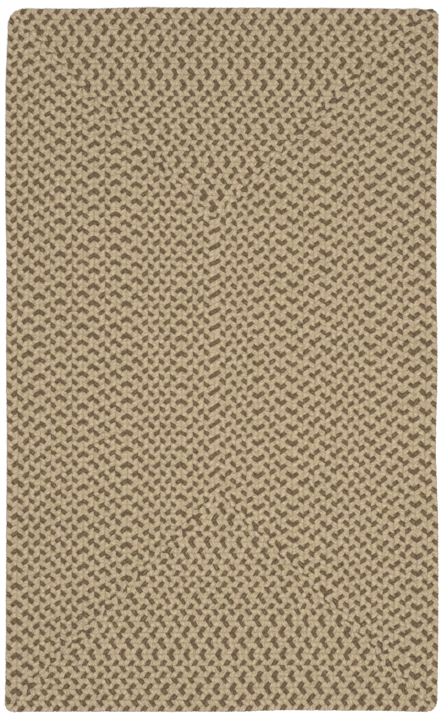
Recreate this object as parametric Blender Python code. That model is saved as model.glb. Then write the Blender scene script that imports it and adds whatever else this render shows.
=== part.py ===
"""A rectangular braided rug.

One flat plait is wound outwards from a straight seam in the middle and stitched to itself, edge to edge.
The rug is one flat body: a blank with a slightly uneven outline and rounded edges, whose upper face is
creased along the seam between the rounds. It lies on z = 0, its length along Y, centred on the origin.
"""

from math import ceil, cos, pi, sin

import bmesh
import bpy
from mathutils import Vector

# Driving dimensions, in metres. A pitch is the width that one round takes up on that side of the rug.
THICKNESS = 0.010
MIDDLE_SEAM = 0.5925
ROUNDS = {"left": 19, "right": 20, "top": 19, "bottom": 19}
PITCH = {"left": 0.02317, "right": 0.02367, "top": 0.02332, "bottom": 0.02395}

OUTER_CORNER_RADIUS = 0.027
SEAM_CORNER_RADIUS = 0.009
EDGE_ROUNDING = 0.0035
EDGE_STEPS = 2
CREASE_DEPTH = 0.003
CREASE_BAR = 0.005
STATION = 0.100
CORNER_STEPS = 4
SEAM_STOP = 0.014
MILLIMETRE = 0.001
WELD = 0.00001
FLAT_ANGLE = 0.0005

# How far each edge stands out from its straight line, in millimetres, at even stations along it.
LONG_EDGES = (
    # up the rug: left, right
    (2.2, -0.5),
    (0.8, 2.3),
    (0.0, 2.3),
    (-1.2, -2.8),
    (0.2, 0.3),
    (-0.5, -1.8),
    (2.0, -2.0),
    (1.5, 1.0),
    (-2.0, 2.5),
)
SHORT_EDGES = (
    # across the rug, left to right: bottom, top
    (1.0, 0.0),
    (1.0, -1.2),
    (1.0, 1.2),
    (1.0, 0.4),
    (-2.4, -0.2),
    (-1.4, -0.8),
    (1.6, -2.4),
)

CLOTH_COLOUR = (0.42, 0.33, 0.23, 1.0)
CLOTH_ROUGHNESS = 0.95

REACH = {side: ROUNDS[side] * PITCH[side] for side in ROUNDS}
SEAM_TOP = MIDDLE_SEAM / 2
SEAM_BOTTOM = -MIDDLE_SEAM / 2
TOP = SEAM_TOP + REACH["top"]
BOTTOM = SEAM_BOTTOM - REACH["bottom"]


def stand_out(table, column, along):
    """An edge's offset in metres at a fraction along it, eased from one station to the next."""
    place = min(max(along, 0.0), 1.0) * (len(table) - 1)
    index = min(int(place), len(table) - 2)
    ease = (1 - cos(pi * (place - index))) / 2
    offset = table[index][column] * (1 - ease) + table[index + 1][column] * ease
    return offset * MILLIMETRE


def settle(x, y):
    """Move a point of the true rectangle to where the laid rug has it: full at the edges, nil at the seam."""
    up = (y - BOTTOM) / (TOP - BOTTOM)
    across = (x + REACH["left"]) / (REACH["left"] + REACH["right"])
    if x < 0:
        x_shift = stand_out(LONG_EDGES, 0, up) * x / REACH["left"]
    else:
        x_shift = stand_out(LONG_EDGES, 1, up) * x / REACH["right"]
    if y < SEAM_BOTTOM:
        y_shift = stand_out(SHORT_EDGES, 0, across) * (y - SEAM_BOTTOM) / REACH["bottom"]
    else:
        y_shift = stand_out(SHORT_EDGES, 1, across) * max(y - SEAM_TOP, 0.0) / REACH["top"]
    return Vector((x + x_shift, y + y_shift, 0.0))


def rounded_route(corners, radius, closed):
    """Points along straight runs between corners, with an arc at each corner and stations on the runs."""
    count = len(corners)
    route = []
    for index, corner in enumerate(corners):
        if not closed and index in (0, count - 1):
            route.append(corner)
            continue
        arrive = (corner - corners[index - 1]).normalized()
        leave = (corners[(index + 1) % count] - corner).normalized()
        centre = corner + (leave - arrive) * radius
        for step in range(CORNER_STEPS + 1):
            angle = pi / 2 * step / CORNER_STEPS
            route.append(centre - leave * radius * cos(angle) + arrive * radius * sin(angle))
    stations = []
    last = len(route) if closed else len(route) - 1
    for index in range(last):
        start = route[index]
        run = route[(index + 1) % len(route)] - start
        pieces = max(1, ceil(run.length / STATION))
        stations += [start + run * piece / pieces for piece in range(pieces)]
    if not closed:
        stations.append(route[-1])
    return [settle(point.x, point.y) for point in stations]


def outline():
    """The rug's edge, counter-clockwise from the bottom left corner."""
    corners = [
        Vector((-REACH["left"], BOTTOM)),
        Vector((REACH["right"], BOTTOM)),
        Vector((REACH["right"], TOP)),
        Vector((-REACH["left"], TOP)),
    ]
    return rounded_route(corners, OUTER_CORNER_RADIUS, closed=True)


def seam():
    """The stitched seam between the rounds: down the middle, then outwards with one pitch a side a turn."""
    corners = [Vector((0.0, SEAM_TOP))]
    for turn in range(ROUNDS["left"]):
        left = -turn * PITCH["left"]
        right = (turn + 1) * PITCH["right"]
        bottom = SEAM_BOTTOM - turn * PITCH["bottom"]
        top = SEAM_TOP + (turn + 1) * PITCH["top"]
        corners += [Vector((left, bottom)), Vector((right, bottom)), Vector((right, top))]
        corners.append(Vector((left - PITCH["left"], top)))
    corners.pop()
    corners[-1].y -= SEAM_STOP
    return rounded_route(corners, SEAM_CORNER_RADIUS, closed=False)


def poly_curve(name, points, closed, dimensions):
    """A curve object with one straight-sided spline through the points."""
    curve = bpy.data.curves.new(name, "CURVE")
    curve.dimensions = dimensions
    spline = curve.splines.new("POLY")
    spline.points.add(len(points) - 1)
    for spline_point, point in zip(spline.points, points):
        spline_point.co = (point.x, point.y, point.z, 1.0)
    spline.use_cyclic_u = closed
    return bpy.data.objects.new(name, curve)


def as_mesh(curve_object, collection):
    """Turn a curve object into a mesh object of the same name and place, with its caps welded on."""
    name = curve_object.name
    collection.objects.link(curve_object)
    bpy.context.view_layer.update()
    evaluated = curve_object.evaluated_get(bpy.context.evaluated_depsgraph_get())
    mesh = bpy.data.meshes.new_from_object(evaluated)
    place = curve_object.matrix_world.copy()
    bpy.data.objects.remove(curve_object)
    shape = bmesh.new()
    shape.from_mesh(mesh)
    bmesh.ops.remove_doubles(shape, verts=shape.verts, dist=WELD)
    bmesh.ops.dissolve_limit(shape, angle_limit=FLAT_ANGLE, verts=shape.verts, edges=shape.edges)
    bmesh.ops.recalc_face_normals(shape, faces=shape.faces)
    shape.to_mesh(mesh)
    shape.free()
    solid = bpy.data.objects.new(name, mesh)
    solid.matrix_world = place
    collection.objects.link(solid)
    return solid


def rug_blank(edge, centre, collection):
    """The flat blank inside the edge, with its rim rounded above and below."""
    points = [point - centre for point in edge]
    blank = poly_curve("braided_rug", points, closed=True, dimensions="2D")
    blank.data.fill_mode = "BOTH"
    blank.data.bevel_depth = EDGE_ROUNDING
    blank.data.bevel_resolution = EDGE_STEPS
    blank.data.offset = -EDGE_ROUNDING
    blank.data.extrude = THICKNESS / 2 - EDGE_ROUNDING
    blank.location.z = THICKNESS / 2
    return as_mesh(blank, collection)


def seam_crease(centre, collection):
    """The cutter for the creases between the rounds: a square bar on its edge, laid along the seam."""
    points = [point - centre for point in seam()]
    crease = poly_curve("seam_crease", points, closed=False, dimensions="3D")
    crease.data.twist_mode = "Z_UP"
    crease.data.fill_mode = "FULL"
    crease.data.bevel_depth = CREASE_BAR
    crease.data.bevel_resolution = 0
    crease.data.use_fill_caps = True
    crease.location.z = THICKNESS + CREASE_BAR - CREASE_DEPTH
    cutter = as_mesh(crease, collection)
    cutter.hide_render = True
    cutter.display_type = "WIRE"
    return cutter


def cloth_material():
    """Plaited beige and brown cloth, seen as one mixed colour."""
    material = bpy.data.materials.new("plaited_cloth")
    material.use_nodes = True
    shader = material.node_tree.nodes["Principled BSDF"]
    shader.inputs["Base Color"].default_value = CLOTH_COLOUR
    shader.inputs["Roughness"].default_value = CLOTH_ROUGHNESS
    shader.inputs["Metallic"].default_value = 0.0
    return material


def new_collection(name):
    collection = bpy.data.collections.new(name)
    bpy.context.scene.collection.children.link(collection)
    return collection


for leftover in list(bpy.data.objects):
    bpy.data.objects.remove(leftover)

parts = new_collection("braided rug")
cutters = new_collection("cutters")

edge = outline()
low = Vector((min(point.x for point in edge), min(point.y for point in edge), 0.0))
high = Vector((max(point.x for point in edge), max(point.y for point in edge), 0.0))
centre = (low + high) / 2

rug = rug_blank(edge, centre, parts)
rug.data.materials.append(cloth_material())
cut = rug.modifiers.new("creases between the rounds", "BOOLEAN")
cut.operation = "DIFFERENCE"
cut.solver = "EXACT"
cut.object = seam_crease(centre, cutters)
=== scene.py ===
"""The looks of a rectangular braided rug.

Three folded strips of knitted cloth, two beige and one brown, are plaited flat. The plait is wound outwards
from a seam in the middle of the rug and laced to itself, round by round. The rug lies on a plain table.
"""

import bmesh
import bpy
import numpy as np
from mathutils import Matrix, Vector


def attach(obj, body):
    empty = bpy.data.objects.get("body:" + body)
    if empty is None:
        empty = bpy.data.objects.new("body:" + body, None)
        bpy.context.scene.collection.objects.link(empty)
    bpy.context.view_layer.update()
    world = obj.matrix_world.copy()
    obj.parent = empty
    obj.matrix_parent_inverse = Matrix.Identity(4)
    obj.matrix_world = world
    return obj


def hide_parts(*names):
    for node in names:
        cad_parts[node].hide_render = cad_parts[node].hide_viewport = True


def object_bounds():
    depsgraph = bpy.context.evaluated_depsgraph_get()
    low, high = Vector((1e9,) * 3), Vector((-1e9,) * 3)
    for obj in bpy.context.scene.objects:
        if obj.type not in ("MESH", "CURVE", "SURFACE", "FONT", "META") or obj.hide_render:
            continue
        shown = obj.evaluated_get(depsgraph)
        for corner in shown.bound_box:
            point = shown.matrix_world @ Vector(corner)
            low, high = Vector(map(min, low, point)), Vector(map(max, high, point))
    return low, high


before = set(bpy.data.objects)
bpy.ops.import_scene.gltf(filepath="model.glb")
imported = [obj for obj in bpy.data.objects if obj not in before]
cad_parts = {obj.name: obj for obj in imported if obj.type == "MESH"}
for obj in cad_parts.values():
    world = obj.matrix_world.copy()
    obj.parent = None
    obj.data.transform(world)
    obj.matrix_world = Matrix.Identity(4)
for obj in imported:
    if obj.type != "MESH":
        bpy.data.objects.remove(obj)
cad_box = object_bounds()

# ---------------------------------------------------------------------------------------------------------
# The plait's three strands. Each is a strip of cotton jersey folded into a flat strand. They are plaited
# flat: a strand turns over at the plait's edge, shows on top from there to about the middle and dives under
# the next one. The plait starts beside the rug's middle seam and is wound outwards, round after round.
# ---------------------------------------------------------------------------------------------------------

MM = 0.001

# A pitch is the width that one round takes up on that side of the rug. A run is one side of a round.
MIDDLE_SEAM = 0.5925
SIDES = ("right", "top", "left", "bottom")
RUNS_A_ROUND = len(SIDES)
PITCH = {"right": 0.02367, "top": 0.02332, "left": 0.02317, "bottom": 0.02395}
ROUNDS = {"right": 20, "top": 19, "left": 19, "bottom": 19}
FULL_ROUNDS = 19
OUTWARD = {"right": (1, 0), "top": (0, 1), "left": (-1, 0), "bottom": (0, -1)}
TRAVEL = {"right": (0, 1), "top": (-1, 0), "left": (0, -1), "bottom": (1, 0)}
REACH = {side: ROUNDS[side] * PITCH[side] for side in SIDES}
SEAM_TOP = MIDDLE_SEAM / 2
SEAM_BOTTOM = -MIDDLE_SEAM / 2
TOP = SEAM_TOP + REACH["top"]
BOTTOM = SEAM_BOTTOM - REACH["bottom"]

# The radius of the turn at a corner: between two rounds, where the plait ends, and at the other corners of
# the rug. The end's length is what is left of the plait where its last turn begins.
TURN_RADIUS = 0.010
END_TURN_RADIUS = 0.016
EDGE_TURN_RADII = {"top left": 0.036, "bottom left": 0.012, "bottom right": 0.023}
END_LENGTH = 0.033

# How far each edge stands out from its straight line, in millimetres, at even stations along it.
LONG_EDGES = (
    # up the rug: left, right
    (2.2, -0.5),
    (0.8, 2.3),
    (0.0, 2.3),
    (-1.2, -2.8),
    (0.2, 0.3),
    (-0.5, -1.8),
    (2.0, -2.0),
    (1.5, 1.0),
    (-4.0, 2.5),
)
SHORT_EDGES = (
    # across the rug, left to right: bottom, top
    (1.0, -1.5),
    (1.0, -1.6),
    (1.0, 1.2),
    (1.0, 0.4),
    (-2.4, -0.2),
    (-1.4, -0.8),
    (1.6, -4.0),
)

# How far the rounds waver inside the rug, over what distances, and in how many cells of that size. The two
# seeds are for the sideways and the lengthways draw. The wavering fades out over the rounds at the edge.
WAVER = 0.0020
WAVER_ACROSS_ROUNDS = 0.036
WAVER_ALONG_ROUNDS = 0.240
WAVER_CELLS = (60, 14)
WAVER_SEEDS = (61, 62)
WAVER_FADES_OVER_ROUNDS = 2


def plait_corners():
    """The corners of the plait's middle line, in the order that it is wound, and its outer end, unbent."""
    corners = [(0.5 * PITCH["right"], SEAM_BOTTOM)]
    for turn in range(FULL_ROUNDS):
        out = turn + 0.5
        corners.append((out * PITCH["right"], SEAM_TOP + out * PITCH["top"]))
        corners.append((-out * PITCH["left"], SEAM_TOP + out * PITCH["top"]))
        corners.append((-out * PITCH["left"], SEAM_BOTTOM - out * PITCH["bottom"]))
        corners.append(((out + 1) * PITCH["right"], SEAM_BOTTOM - out * PITCH["bottom"]))
    corners.append(((FULL_ROUNDS + 0.5) * PITCH["right"], TOP - END_TURN_RADIUS + END_LENGTH))
    return np.array(corners)


def eased(share):
    """A share from 0 to 1 that starts and stops gently."""
    return (1 - np.cos(np.pi * np.clip(share, 0, 1))) / 2


def stand_out(table, column, along):
    """An edge's offsets in metres at fractions along it, eased from one station to the next."""
    offsets = np.array([row[column] for row in table]) * MM
    place = np.clip(along, 0, 1) * (len(table) - 1)
    index = np.minimum(place.astype(int), len(table) - 2)
    ease = eased(place - index)
    return offsets[index] * (1 - ease) + offsets[index + 1] * ease


def waver(across, along, seed):
    """A smooth unevenness between -1 and 1 that changes quickly across the rounds and slowly along them."""
    cells_across, cells_along = WAVER_CELLS
    values = np.random.default_rng(seed).uniform(-1, 1, WAVER_CELLS)
    u = across / WAVER_ACROSS_ROUNDS + cells_across / 2
    v = along / WAVER_ALONG_ROUNDS + cells_along / 2
    i = np.clip(u.astype(int), 0, cells_across - 2)
    j = np.clip(v.astype(int), 0, cells_along - 2)
    near = values[i, j] * (1 - eased(v - j)) + values[i, j + 1] * eased(v - j)
    far = values[i + 1, j] * (1 - eased(v - j)) + values[i + 1, j + 1] * eased(v - j)
    return near * (1 - eased(u - i)) + far * eased(u - i)


def settle(x, y):
    """Where points of the true rectangle lie on the laid rug, whose edges and rounds aren't straight."""
    from_side = np.minimum(REACH["right"] - x, x + REACH["left"])
    from_end = np.minimum(TOP - y, y - BOTTOM)
    inside = np.minimum(from_side, from_end) / (WAVER_FADES_OVER_ROUNDS * PITCH["right"])
    shift = WAVER * np.clip(inside, 0, 1)
    x, y = x + shift * waver(x, y, WAVER_SEEDS[0]), y + shift * waver(y, x, WAVER_SEEDS[1])
    up = (y - BOTTOM) / (TOP - BOTTOM)
    across = (x + REACH["left"]) / (REACH["left"] + REACH["right"])
    left = stand_out(LONG_EDGES, 0, up) * x / REACH["left"]
    right = stand_out(LONG_EDGES, 1, up) * x / REACH["right"]
    bottom = stand_out(SHORT_EDGES, 0, across) * (y - SEAM_BOTTOM) / REACH["bottom"]
    top = stand_out(SHORT_EDGES, 1, across) * np.maximum(y - SEAM_TOP, 0) / REACH["top"]
    return x + np.where(x < 0, left, right), y + np.where(y < SEAM_BOTTOM, bottom, top)


STATIONS_AN_EDGE = 400


def rug_middle():
    """The middle of the laid rug, which is the frame's origin."""
    up = np.linspace(BOTTOM, TOP, STATIONS_AN_EDGE)
    across = np.linspace(-REACH["left"], REACH["right"], STATIONS_AN_EDGE)
    left, _ = settle(np.full(STATIONS_AN_EDGE, -REACH["left"]), up)
    right, _ = settle(np.full(STATIONS_AN_EDGE, REACH["right"]), up)
    _, bottom = settle(across, np.full(STATIONS_AN_EDGE, BOTTOM))
    _, top = settle(across, np.full(STATIONS_AN_EDGE, TOP))
    return np.array([(left.min() + right.max()) / 2, (bottom.min() + top.max()) / 2, 0])


# The last four runs are the ones at the rug's edge, and the very last one bends at its end.
CORNERS = plait_corners()
MIDDLE = rug_middle()
LAST_RUN = len(CORNERS) - 2
FIRST_FREE_RUN = LAST_RUN - 3
RUN_SIDE = [SIDES[run % RUNS_A_ROUND] for run in range(LAST_RUN + 1)]
RUN_LENGTH = np.linalg.norm(np.diff(CORNERS, axis=0), axis=1)
RUN_START = np.concatenate([[0], np.cumsum(RUN_LENGTH)[:-1]])
RUN_HALF_WIDTH = np.array([PITCH[side] / 2 for side in RUN_SIDE])
RUN_TRAVEL = np.array([TRAVEL[side] for side in RUN_SIDE], float)
RUN_OUTWARD = np.array([OUTWARD[side] for side in RUN_SIDE], float)
PLAIT_LENGTH = RUN_LENGTH.sum()
OUTER_RADIUS = np.full(LAST_RUN + 1, TURN_RADIUS)
OUTER_RADIUS[FIRST_FREE_RUN:] = [END_TURN_RADIUS, *EDGE_TURN_RADII.values()]

# At the rug's edge no neighbour holds the loops out. A corner is felt over a few half widths of the plait,
# and it never takes away quite all of the length on the inner side. Its rounding starts about a radius away.
FREE_EDGE_SHARE = 0.85
TURN_SPREAD = 2.6
TURN_POWER = 2.0
MOST_SQUEEZE = 0.95
BLEND_FOR_RADIUS = 1.17
NEXT_TO_NOTHING = 1e-6


def corner_squeeze(distance, spread, half_width):
    """How much of a corner's squeeze is left at a distance from it along the plait, and how it falls."""
    power = np.minimum(TURN_POWER, MOST_SQUEEZE * spread / half_width)
    left = np.clip(1 - distance / spread, NEXT_TO_NOTHING, 1)
    return left**power, half_width * power / spread * left ** (power - 1)


def rounded_corner(along, blend):
    """The distance travelled beyond a corner that is rounded off within a distance either side of it."""
    soft = (along + blend) ** 2 / (4 * np.maximum(blend, NEXT_TO_NOTHING))
    return np.where(along >= blend, along, np.where(along <= -blend, 0, soft))


def past_the_top_corner(distance, side_x):
    """Points on a line that goes up the rug's side, round its top corner and back along its top edge."""
    angle = np.clip(distance / END_TURN_RADIUS, 0, np.pi / 2)
    beyond = np.maximum(distance - END_TURN_RADIUS * np.pi / 2, 0)
    x = side_x - END_TURN_RADIUS * (1 - np.cos(angle)) - beyond
    y = TOP - END_TURN_RADIUS * (1 - np.sin(angle)) + np.minimum(distance, 0)
    return np.column_stack([x, y])


def bent_end(x, y):
    """Points of the outer end, which turns the top right corner and tapers away, and how narrow it is."""
    place_across = x / PITCH["right"] - FULL_ROUNDS
    distance = y - (TOP - END_TURN_RADIUS)
    arc = END_TURN_RADIUS * np.pi / 2
    turned = np.maximum(distance, 0) / (arc + PITCH["right"] / 2)
    inner_distance = np.where(distance < 0, distance, turned * arc)
    outer_distance = np.where(distance < 0, distance, turned * (arc + PITCH["right"]))
    inner = past_the_top_corner(inner_distance, REACH["right"] - PITCH["right"])
    outer = past_the_top_corner(outer_distance, REACH["right"])
    narrowing = np.linalg.norm(outer - inner, axis=1) / PITCH["right"]
    place = inner + place_across[:, None] * (outer - inner)
    return place[:, 0], place[:, 1], np.minimum(narrowing, 1)


def on_the_rug(along, sideways):
    """Points of the laid rug, from the distance along the plait and the place across it.

    The place goes from -1 at the inner side to 1 at the outer one. The runs meet at mitres. Near one, the
    plait is squeezed on its inner side and stretched on its outer one. The stretch there is also returned,
    and the plait's width as a share of its full width.
    """
    free = np.clip((along - RUN_START[FIRST_FREE_RUN] - END_TURN_RADIUS) / PITCH["top"], 0, 1)
    sideways = np.where(sideways > 0, sideways * (1 - (1 - FREE_EDGE_SHARE) * free), sideways)
    run = np.clip(np.searchsorted(RUN_START, along, side="right") - 1, 0, LAST_RUN)
    since = along - RUN_START[run]
    until = RUN_LENGTH[run] - since
    leaving = ((since < until) & (run > 0)) | (run == LAST_RUN)
    after = np.where(leaving, run, run + 1)
    before = after - 1
    distance = np.where(leaving, since, until)
    half_before, half_after = RUN_HALF_WIDTH[before], RUN_HALF_WIDTH[after]
    half_across = np.where(leaving, half_before, half_after)
    spread = np.minimum(TURN_SPREAD * half_across, RUN_LENGTH[run] / 2)
    squeeze, fall = corner_squeeze(distance, spread, half_across)
    stretch = 1 + sideways * fall
    travelled = distance + sideways * half_across * (1 - squeeze)
    travelled = np.where(leaving, travelled, -travelled)

    radius = TURN_RADIUS + (OUTER_RADIUS[after] - TURN_RADIUS) * np.clip((sideways + 1) / 2, 0, 1)
    room_after = RUN_LENGTH[after] / 2 + sideways * half_before
    room_before = RUN_LENGTH[before] / 2 + sideways * half_after
    blend = np.minimum(BLEND_FOR_RADIUS * radius, np.maximum(np.minimum(room_after, room_before), 0))
    mitre = CORNERS[after] + sideways[:, None] * (
        half_before[:, None] * RUN_OUTWARD[before] + half_after[:, None] * RUN_OUTWARD[after]
    )
    place = (
        mitre
        + rounded_corner(travelled, blend)[:, None] * RUN_TRAVEL[after]
        - rounded_corner(-travelled, blend)[:, None] * RUN_TRAVEL[before]
    )
    x, y = place[:, 0], place[:, 1]
    end_x, end_y, narrowing = bent_end(x, y)
    at_end = run == LAST_RUN
    x, y = np.where(at_end, end_x, x), np.where(at_end, end_y, y)
    return settle(x, y), stretch, np.where(at_end, narrowing, 1)


# The strand's section, whose shoulders are cut off at a slant.
STRAND_WIDTH = 0.0104
STRAND_THICKNESS = 0.0050
STRAND_SHOULDER = 0.0017
SHOULDER_DROP = 0.7 * STRAND_SHOULDER

# The height of the plait's middle, and how far above or below it a strand passes. The strands sink a little
# at the plait's midline, and they begin to dive at a small angle of the repeat before it.
PLAIT_MIDDLE = 0.0049
STRAND_PASS = 0.0025
MIDLINE_DIP = 0.0012
MIDLINE_SHARPNESS = 8
EARLY_DIVE = 0.12

# How far a strand's middle swings out towards the plait's edges, how straight it crosses between them, how
# sharply it turns there, and how quickly it rolls over. Its points crowd together at the edges.
STRAND_SWING = 0.87
SWING_STRAIGHTNESS = 0.45
SWING_POINT = 0.98
ROLL_SHARPNESS = 1.5
POINTS_A_REPEAT = 12
EDGE_CROWDING = 0.2

# A repeat is the length in which a strand crosses the plait and comes back. The outer rounds are plaited
# more loosely: from the middle of one round on, counted from nought, the repeat grows over a distance.
REPEAT_INNER = 0.03387
REPEAT_OUTER = 0.03654
LOOSENING_ROUND = 16
LOOSER_FROM = (
    RUN_START[RUNS_A_ROUND * LOOSENING_ROUND] + RUN_START[RUNS_A_ROUND * (LOOSENING_ROUND + 1)]
) / 2
LOOSENS_OVER = 3.3
REPEAT_STEP = 0.005
PHASE_AT_FIRST_TURN = 0.29

# What handwork does to a strand: how much its repeat, phase, place and width vary, over what distances, and
# the seed of each draw. The last three seeds go up by one from strand to strand.
REPEAT_UNEVENNESS, REPEAT_VARIES_OVER, REPEAT_SEED = 0.012, 1.0, 1272
PHASE_UNEVENNESS, PHASE_VARIES_OVER, PHASE_SEED = 0.025, 0.045, 31
PLACE_UNEVENNESS, PLACE_VARIES_OVER, PLACE_SEED = 0.02, 0.07, 11
WIDTH_UNEVENNESS, WIDTH_VARIES_OVER, WIDTH_SEED = 0.09, 0.022, 21

# A strand spreads where the plait is stretched round a corner, and narrows where it is squeezed.
WIDTH_FOR_STRETCH = 0.55
LEAST_STRETCH, MOST_STRETCH = 0.25, 2
WIDEST, WIDEST_ON_EDGE = 1.35, 1.10


def wander(along, distance, seed):
    """A gentle hand-made unevenness between -1 and 1 that changes over about a distance."""
    knots = int(PLAIT_LENGTH * 2 / distance) + 3
    values = np.random.default_rng(seed).uniform(-1, 1, knots)
    place = along / distance
    index = np.clip(place.astype(int), 0, knots - 2)
    ease = eased(place - index)
    return values[index] * (1 - ease) + values[index + 1] * ease


def repeats_by_distance():
    """How many repeats of the plait lie before each of many distances along it."""
    distance = np.arange(0, PLAIT_LENGTH + REPEAT_STEP, REPEAT_STEP)
    loosened = np.clip((distance - LOOSER_FROM) / LOOSENS_OVER, 0, 1)
    length = REPEAT_INNER + (REPEAT_OUTER - REPEAT_INNER) * loosened
    length = length * (1 + REPEAT_UNEVENNESS * wander(distance, REPEAT_VARIES_OVER, REPEAT_SEED))
    return distance, np.concatenate([[0], np.cumsum(REPEAT_STEP / length)[:-1]])


def strand_path(place_in_plait, fullness):
    """The distances, points, rolls and widths along a strand, a third of a repeat from the one before."""
    distance, repeats = repeats_by_distance()
    repeats_to_turn = np.interp(RUN_START[1] + RUN_LENGTH[1] / 2, distance, repeats)
    ahead = (PHASE_AT_FIRST_TURN - repeats_to_turn + place_in_plait / 3) % 1
    early = wander(distance, PHASE_VARIES_OVER, PHASE_SEED + place_in_plait)
    repeats = repeats + PHASE_UNEVENNESS * early
    first_step = int(np.ceil(ahead * POINTS_A_REPEAT))
    last_step = int(np.ceil((ahead + repeats[-1]) * POINTS_A_REPEAT))
    turns = np.arange(first_step, last_step + 1) / POINTS_A_REPEAT
    turns = turns + EDGE_CROWDING / (2 * np.pi) * np.sin(4 * np.pi * turns)
    along = np.minimum(np.interp(turns - ahead, repeats, distance), PLAIT_LENGTH)
    angle = 2 * np.pi * turns

    straight_swing = np.arcsin(SWING_POINT * np.sin(angle)) / np.arcsin(SWING_POINT)
    swing = STRAND_SWING * (
        (1 - SWING_STRAIGHTNESS) * np.sin(angle) + SWING_STRAIGHTNESS * straight_swing
    )
    aside = wander(along, PLACE_VARIES_OVER, PLACE_SEED + place_in_plait)
    swing = swing + PLACE_UNEVENNESS * aside
    (x, y), stretch, narrowing = on_the_rug(along, swing)

    facing = np.clip(ROLL_SHARPNESS * np.cos(angle), -1, 1)
    roll = np.pi / 2 * (1 + np.sin(np.pi / 2 * facing))
    width = fullness * np.clip(stretch, LEAST_STRETCH, MOST_STRETCH) ** WIDTH_FOR_STRETCH
    wider = wander(along, WIDTH_VARIES_OVER, WIDTH_SEED + place_in_plait)
    width = width + WIDTH_UNEVENNESS * wider
    width = np.minimum(width, WIDEST - (WIDEST - WIDEST_ON_EDGE) * np.sin(angle) ** 4)
    lift = STRAND_PASS - STRAND_THICKNESS / 2 * (width - 1)
    lift = -lift * np.sin(2 * angle + EARLY_DIVE) - MIDLINE_DIP * np.cos(angle) ** MIDLINE_SHARPNESS
    z = (PLAIT_MIDDLE + lift) * narrowing
    return along, np.column_stack([x, y, z]) - MIDDLE, roll, width * narrowing


def strand_section():
    """A strand's section, flat with slanted shoulders, as a curve to sweep, and the distances around it.

    It goes round clockwise, so that the swept faces point outwards.
    """
    half_width, half_thickness = STRAND_WIDTH / 2, STRAND_THICKNESS / 2
    upper = [
        (-half_width, half_thickness - SHOULDER_DROP),
        (STRAND_SHOULDER - half_width, half_thickness),
    ]
    upper += [(-x, y) for x, y in reversed(upper)]
    outline = upper + [(-x, -y) for x, y in upper]
    curve = bpy.data.curves.new("strand_section", "CURVE")
    curve.dimensions = "2D"
    spline = curve.splines.new("POLY")
    spline.points.add(len(outline) - 1)
    for spline_point, (x, y) in zip(spline.points, outline):
        spline_point.co = (x, y, 0, 1)
    spline.use_cyclic_u = True
    section = bpy.data.objects.new("strand_section", curve)
    bpy.context.scene.collection.objects.link(section)
    sides = np.diff(outline + outline[:1], axis=0)
    return section, np.concatenate([[0], np.cumsum(np.linalg.norm(sides, axis=1))])


SECTION, AROUND_SECTION = strand_section()
WELD = 0.01 * MM


def swept(name, curve, points):
    """A mesh of a curve's section swept along points."""
    curve.dimensions = "3D"
    curve.use_fill_caps = True
    spline = curve.splines[0]
    spline.points.foreach_set("co", np.column_stack([points, np.ones(len(points))]).ravel())
    sweep = bpy.data.objects.new(name, curve)
    bpy.context.scene.collection.objects.link(sweep)
    bpy.context.view_layer.update()
    mesh = bpy.data.meshes.new_from_object(sweep.evaluated_get(bpy.context.evaluated_depsgraph_get()))
    bpy.data.objects.remove(sweep)
    mesh.name = name
    mesh.materials.clear()
    return mesh


def strand_mesh(name, points, rolls, widths):
    """A closed mesh of a stretch of strand, with its cloth's UV map in metres, and the strand's length."""
    curve = bpy.data.curves.new(name, "CURVE")
    curve.twist_mode = "Z_UP"
    curve.bevel_mode = "OBJECT"
    curve.bevel_object = SECTION
    spline = curve.splines.new("POLY")
    spline.points.add(len(points) - 1)
    spline.points.foreach_set("tilt", rolls)
    spline.points.foreach_set("radius", widths)
    mesh = swept(name, curve, points)

    # The caps are welded on, and what would reach below the table is pressed flat on it.
    shape = bmesh.new()
    shape.from_mesh(mesh)
    bmesh.ops.remove_doubles(shape, verts=shape.verts, dist=WELD)
    for vert in shape.verts:
        vert.co.z = max(vert.co.z, 0)
    shape.to_mesh(mesh)
    shape.free()

    # The sweep's own map goes from 0 to 1 along the strand and, in equal steps, around it.
    length = np.linalg.norm(np.diff(points, axis=0), axis=1).sum()
    cloth_map = np.empty(2 * len(mesh.loops))
    mesh.uv_layers[0].uv.foreach_get("vector", cloth_map)
    cloth_map[0::2] *= length
    cloth_map[1::2] = np.interp(cloth_map[1::2], np.linspace(0, 1, len(AROUND_SECTION)), AROUND_SECTION)
    mesh.uv_layers[0].uv.foreach_set("vector", cloth_map)
    return mesh, length


def linear_colour(hex_colour):
    """A colour written as sRGB hex, as the shaders take it."""
    channels = [int(hex_colour[place : place + 2], 16) / 255 for place in (1, 3, 5)]
    return tuple(c / 12.92 if c <= 0.04045 else ((c + 0.055) / 1.055) ** 2.4 for c in channels) + (1,)


def add_node(material, kind, settings=None, **inputs):
    """Add a node to a material, with its settings, and its inputs as values or as links.

    An input without a name of its own is given by its number, after an underline.
    """
    node = material.node_tree.nodes.new(kind)
    for name, value in (settings or {}).items():
        setattr(node, name, value)
    for name, value in inputs.items():
        socket = node.inputs[int(name[1:])] if name[0] == "_" else node.inputs[name.replace("_", " ")]
        if isinstance(value, bpy.types.NodeSocket):
            material.node_tree.links.new(value, socket)
        else:
            socket.default_value = value
    return node


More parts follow.
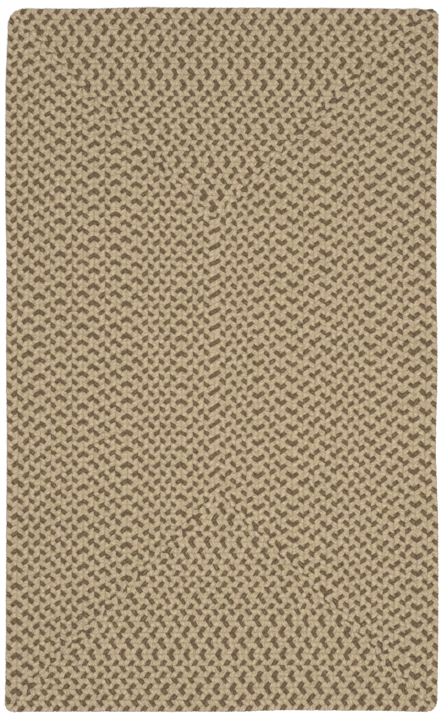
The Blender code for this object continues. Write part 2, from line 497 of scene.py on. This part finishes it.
# Sizes of the cloth's patterns, and how much darker or lighter they make it, and the painted shade low in
# its creases: the heights over which it fades in, and how dark it is. A wave texture's period is WAVE_PERIOD
# at a scale of 1.
RIB = 1.7 * MM
RIB_DARKEST, RIB_LIGHTEST = 0.88, 1.12
YARN_FLECK = 7.0 * MM
YARN_MOTTLE = 4.6 * MM
MOTTLE_WIDTH = 3.2 * MM
FIBRE_LENGTH = 1.6 * MM
FIBRE_WIDTH = 0.35 * MM
FIBRE_SHARE = 0.6
TONE_DARKEST, TONE_LIGHTEST = 1.07, 1.53
DYE_PATCH = 24 * MM
DYE_WARMEST, DYE_COOLEST = 0.4, 0.6
# Painted shade: the cloth's colour is darkened low in the creases. It fades in between these two heights,
# and at the deepest the colour is this share as light.
CREASE_DEEP, CREASE_SHALLOW = 6.0 * MM, 8.6 * MM
PAINTED_CREASE_SHADE = 0.86
CLOTH_RELIEF = 0.35 * MM
WAVE_PERIOD = 0.1 * np.pi


def heathered_jersey(name, shades, warm, cool):
    """Cotton jersey knitted of heathered yarn, soft and matt, with fine ribs along the strand.

    Its lighter and darker fibres give it a mottled look, and its dye is a bit uneven. Low in the creases
    its colour is darkened with painted shade, as less light gets there. The ribs and flecks are drawn
    somewhat coarser than the real 1 mm ones, so that they show.
    """
    material = bpy.data.materials.new(name)
    material.use_nodes = True
    material.node_tree.nodes.clear()
    cloth_map = add_node(material, "ShaderNodeUVMap", {"uv_map": "UVMap"}).outputs["UV"]
    place = add_node(material, "ShaderNodeTexCoord").outputs["Object"]

    fleck_map = add_node(
        material, "ShaderNodeMapping", _0=cloth_map, Scale=(1 / YARN_FLECK, 1 / RIB, 1)
    ).outputs[0]
    flecks = add_node(
        material, "ShaderNodeTexNoise", _0=fleck_map, Scale=1.0, Detail=3.0, Roughness=0.6
    ).outputs["Fac"]
    mottle_map = add_node(
        material, "ShaderNodeMapping", _0=cloth_map, Scale=(1 / YARN_MOTTLE, 1 / MOTTLE_WIDTH, 1)
    ).outputs[0]
    mottle = add_node(
        material, "ShaderNodeTexNoise", _0=mottle_map, Scale=1.0, Detail=2.0, Roughness=0.55
    ).outputs["Fac"]
    fibre_map = add_node(
        material, "ShaderNodeMapping", _0=cloth_map, Scale=(1 / FIBRE_LENGTH, 1 / FIBRE_WIDTH, 1)
    ).outputs[0]
    fine = add_node(
        material, "ShaderNodeTexNoise", _0=fibre_map, Scale=1.0, Detail=1.0, Roughness=0.5
    ).outputs["Fac"]
    yarn = add_node(material, "ShaderNodeMath", {"operation": "ADD"}, _0=flecks, _1=mottle).outputs[0]
    fibres = add_node(
        material, "ShaderNodeMath", {"operation": "MULTIPLY_ADD"}, _0=fine, _1=FIBRE_SHARE, _2=yarn
    ).outputs[0]
    tone = add_node(
        material, "ShaderNodeMapRange", Value=fibres, From_Min=TONE_DARKEST, From_Max=TONE_LIGHTEST
    ).outputs[0]
    ramp = add_node(material, "ShaderNodeValToRGB", Fac=tone)
    ramp.color_ramp.elements[0].color = linear_colour(shades[0])
    ramp.color_ramp.elements[1].color = linear_colour(shades[2])
    ramp.color_ramp.elements.new(0.5).color = linear_colour(shades[1])

    patches = add_node(
        material, "ShaderNodeTexNoise", _0=place, Scale=1 / DYE_PATCH, Detail=1.5, Roughness=0.4
    ).outputs["Fac"]
    patch = add_node(
        material, "ShaderNodeMapRange", Value=patches, From_Min=DYE_WARMEST, From_Max=DYE_COOLEST
    ).outputs[0]
    dye = add_node(
        material,
        "ShaderNodeMix",
        {"data_type": "RGBA"},
        _0=patch,
        _6=linear_colour(warm),
        _7=linear_colour(cool),
    ).outputs[2]
    dyed = add_node(
        material,
        "ShaderNodeMix",
        {"data_type": "RGBA", "blend_type": "MULTIPLY"},
        _0=1.0,
        _6=ramp.outputs[0],
        _7=dye,
    ).outputs[2]

    ribs = add_node(
        material,
        "ShaderNodeTexWave",
        {"bands_direction": "Y"},
        _0=cloth_map,
        Scale=WAVE_PERIOD / RIB,
        Distortion=1.5,
        Detail=1.0,
    ).outputs["Fac"]
    rib_light = add_node(
        material, "ShaderNodeMapRange", Value=ribs, To_Min=RIB_DARKEST, To_Max=RIB_LIGHTEST
    ).outputs[0]
    # Painted shade: the lower the cloth lies, the darker its colour is painted, as the creases get less
    # light.
    height = add_node(material, "ShaderNodeSeparateXYZ", _0=place).outputs["Z"]
    painted_crease_shade = add_node(
        material,
        "ShaderNodeMapRange",
        Value=height,
        From_Min=CREASE_DEEP,
        From_Max=CREASE_SHALLOW,
        To_Min=PAINTED_CREASE_SHADE,
        To_Max=1.0,
    ).outputs[0]
    light = add_node(
        material, "ShaderNodeMath", {"operation": "MULTIPLY"}, _0=rib_light, _1=painted_crease_shade
    ).outputs[0]
    colour = add_node(
        material,
        "ShaderNodeMix",
        {"data_type": "RGBA", "blend_type": "MULTIPLY"},
        _0=1.0,
        _6=dyed,
        _7=light,
    ).outputs[2]
    relief = add_node(material, "ShaderNodeMath", {"operation": "ADD"}, _0=fibres, _1=ribs).outputs[0]
    bump = add_node(
        material, "ShaderNodeBump", Strength=0.5, Distance=CLOTH_RELIEF, Height=relief
    ).outputs[0]
    shader = add_node(
        material,
        "ShaderNodeBsdfPrincipled",
        Base_Color=colour,
        Normal=bump,
        Roughness=0.92,
        Specular_IOR_Level=0.2,
        Sheen_Weight=0.25,
        Sheen_Roughness=0.6,
    )
    add_node(material, "ShaderNodeOutputMaterial", Surface=shader.outputs[0])
    return material


beige_jersey = heathered_jersey(
    "heathered_beige_jersey", ("#94856A", "#BCAB90", "#D2C3A9"), warm="#FEF9F6", cool="#FBFAF1"
)
brown_jersey = heathered_jersey(
    "heathered_brown_jersey", ("#443522", "#69573D", "#948060"), warm="#FEF6F5", cool="#FBF8E9"
)

# Each strand is one length of cloth, in two pieces here: the inner rounds and the outer ones. The fullness
# is the strand's width as a share of the section's.
INNER_ROUNDS = 13
BROWN_FULLNESS, BEIGE_FULLNESS = 0.965, 1.04
laid_inner = (
    (INNER_ROUNDS + 0.5) * (PITCH["left"] + PITCH["right"]),
    MIDDLE_SEAM + INNER_ROUNDS * (PITCH["top"] + PITCH["bottom"]),
)
laid_outer = (REACH["left"] + REACH["right"], TOP - BOTTOM)
strands = (
    ("brown_strand", brown_jersey, "brown_cloth", BROWN_FULLNESS),
    ("beige_strand", beige_jersey, "beige_cloth", BEIGE_FULLNESS),
    ("second_beige_strand", beige_jersey, "beige_cloth", BEIGE_FULLNESS),
)
for place_in_plait, (name, jersey, slot, fullness) in enumerate(strands):
    along, points, rolls, widths = strand_path(place_in_plait, fullness)
    inside = int(np.searchsorted(along, RUN_START[RUNS_A_ROUND * INNER_ROUNDS]))
    stretches = (
        ("inner", slice(0, inside + 1), laid_inner),
        ("outer", slice(inside, None), laid_outer),
    )
    for part, reach, laid in stretches:
        piece_name = f"{name}_{part}"
        mesh, length = strand_mesh(piece_name, points[reach], rolls[reach], widths[reach])
        mesh.materials.append(jersey)
        strand = bpy.data.objects.new(piece_name, mesh)
        bpy.context.scene.collection.objects.link(strand)
        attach(strand, "root")
        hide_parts("braided_rug")
bpy.data.objects.remove(SECTION)

# ---------------------------------------------------------------------------------------------------------
# The stitching thread. One beige cotton thread laces each round of the plait to the one inside it. It goes
# from side to side of the groove between them and is pulled down, so that it hardly shows.
# ---------------------------------------------------------------------------------------------------------

# A stitch reaches a share of the plait's half width to either side of the groove.
THREAD_THICKNESS = 0.0011
STITCH_SPACING = 0.0170
STITCH_REACH = 0.20
THREAD_HEIGHT = 0.0068
THREAD_UNEVENNESS, THREAD_VARIES_OVER, THREAD_SEED = 0.0006, 0.02, 51
THREAD_TWIST = 1.2 * MM
THREAD_RELIEF = 0.1 * MM


def lacing_route():
    """The thread's points, from side to side of the groove around each round."""
    along = np.arange(0, RUN_START[FIRST_FREE_RUN], STITCH_SPACING)
    side = np.where(np.arange(len(along)) % 2, 1, -1)
    (x, y), _, _ = on_the_rug(along, 1 + STITCH_REACH * side)
    z = THREAD_HEIGHT + THREAD_UNEVENNESS * wander(along, THREAD_VARIES_OVER, THREAD_SEED)
    return np.column_stack([x, y, z]) - MIDDLE


def spun_thread():
    """Spun cotton thread: matt, with the faint stripe of its twist."""
    material = bpy.data.materials.new("spun_cotton_thread")
    material.use_nodes = True
    material.node_tree.nodes.clear()
    place = add_node(material, "ShaderNodeTexCoord").outputs["Object"]
    twist = add_node(
        material, "ShaderNodeTexWave", _0=place, Scale=WAVE_PERIOD / THREAD_TWIST, Distortion=2.0
    ).outputs["Fac"]
    ramp = add_node(material, "ShaderNodeValToRGB", Fac=twist)
    ramp.color_ramp.elements[0].color = linear_colour("#8F8062")
    ramp.color_ramp.elements[1].color = linear_colour("#B9A988")
    bump = add_node(
        material, "ShaderNodeBump", Strength=0.4, Distance=THREAD_RELIEF, Height=twist
    ).outputs[0]
    shader = add_node(
        material,
        "ShaderNodeBsdfPrincipled",
        Base_Color=ramp.outputs[0],
        Normal=bump,
        Roughness=0.85,
        Sheen_Weight=0.2,
    )
    add_node(material, "ShaderNodeOutputMaterial", Surface=shader.outputs[0])
    return material


lacing = lacing_route()
thread_curve = bpy.data.curves.new("stitching_thread", "CURVE")
thread_curve.bevel_depth = THREAD_THICKNESS / 2
thread_curve.bevel_resolution = 0
thread_curve.splines.new("POLY").points.add(len(lacing) - 1)
thread_mesh = swept("stitching_thread", thread_curve, lacing)
thread_mesh.materials.append(spun_thread())
thread = bpy.data.objects.new("stitching_thread", thread_mesh)
bpy.context.scene.collection.objects.link(thread)
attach(thread, "root")
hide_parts("braided_rug")

# ---------------------------------------------------------------------------------------------------------
# The rug lies on a plain white table that glows a little, so that the rug has almost no shadow. The light
# is an even sky, one large softbox overhead and a weak warm lamp over the middle.
# ---------------------------------------------------------------------------------------------------------

TABLE_SIZE = 12.0
shape = bmesh.new()
bmesh.ops.create_grid(shape, x_segments=1, y_segments=1, size=TABLE_SIZE / 2)
floor_mesh = bpy.data.meshes.new("floor")
shape.to_mesh(floor_mesh)
shape.free()
floor = bpy.data.objects.new("floor", floor_mesh)
bpy.context.scene.collection.objects.link(floor)
table_paint = bpy.data.materials.new("matt_white_paint")
table_paint.use_nodes = True
table_shader = table_paint.node_tree.nodes["Principled BSDF"]
table_shader.inputs["Base Color"].default_value = linear_colour("#FAFAFA")
table_shader.inputs["Roughness"].default_value = 0.9
table_shader.inputs["Emission Color"].default_value = linear_colour("#FFFFFF")
table_shader.inputs["Emission Strength"].default_value = 0.2
floor_mesh.materials.append(table_paint)

world = bpy.data.worlds.new("soft studio")
bpy.context.scene.world = world
world.use_nodes = True
sky = world.node_tree.nodes["Background"]
sky.inputs["Color"].default_value = linear_colour("#FFFFFF")
sky.inputs["Strength"].default_value = 0.70


def soft_lamp(name, place, size, watts, hex_colour):
    """A square soft lamp that faces the middle of the rug."""
    lamp = bpy.data.lights.new(name, "AREA")
    lamp.shape = "SQUARE"
    lamp.size = size
    lamp.energy = watts
    lamp.color = linear_colour(hex_colour)[:3]
    holder = bpy.data.objects.new(name, lamp)
    holder.location = place
    holder.rotation_euler = (-Vector(place)).to_track_quat("-Z", "Y").to_euler()
    bpy.context.scene.collection.objects.link(holder)


soft_lamp("overhead softbox", (0.4, -0.5, 3.6), size=2.5, watts=48, hex_colour="#FFFFFF")
soft_lamp("warm lamp over the middle", (0.08, -0.05, 1.3), size=0.7, watts=4.0, hex_colour="#FFF0DC")

# ---------------------------------------------------------------------------------------------------------
# The camera is straight above the rug, about a pixel off its centre, at a height where one pixel of the
# picture covers 2.116 mm of rug.
# ---------------------------------------------------------------------------------------------------------

PIXEL = 0.002116
PICTURE_HEIGHT = 720
LENS = 100
SENSOR = 36
OFF_CENTRE = (1.1 * PIXEL, -0.25 * PIXEL)
lens = bpy.data.cameras.new("overhead camera")
lens.lens = LENS
lens.sensor_width = SENSOR
camera = bpy.data.objects.new("overhead camera", lens)
rug_top = cad_box[1][2]
camera.location = (*OFF_CENTRE, rug_top + PICTURE_HEIGHT * PIXEL * LENS / SENSOR)
bpy.context.scene.collection.objects.link(camera)
bpy.context.scene.camera = camera
bpy.context.scene.view_settings.view_transform = "Standard"
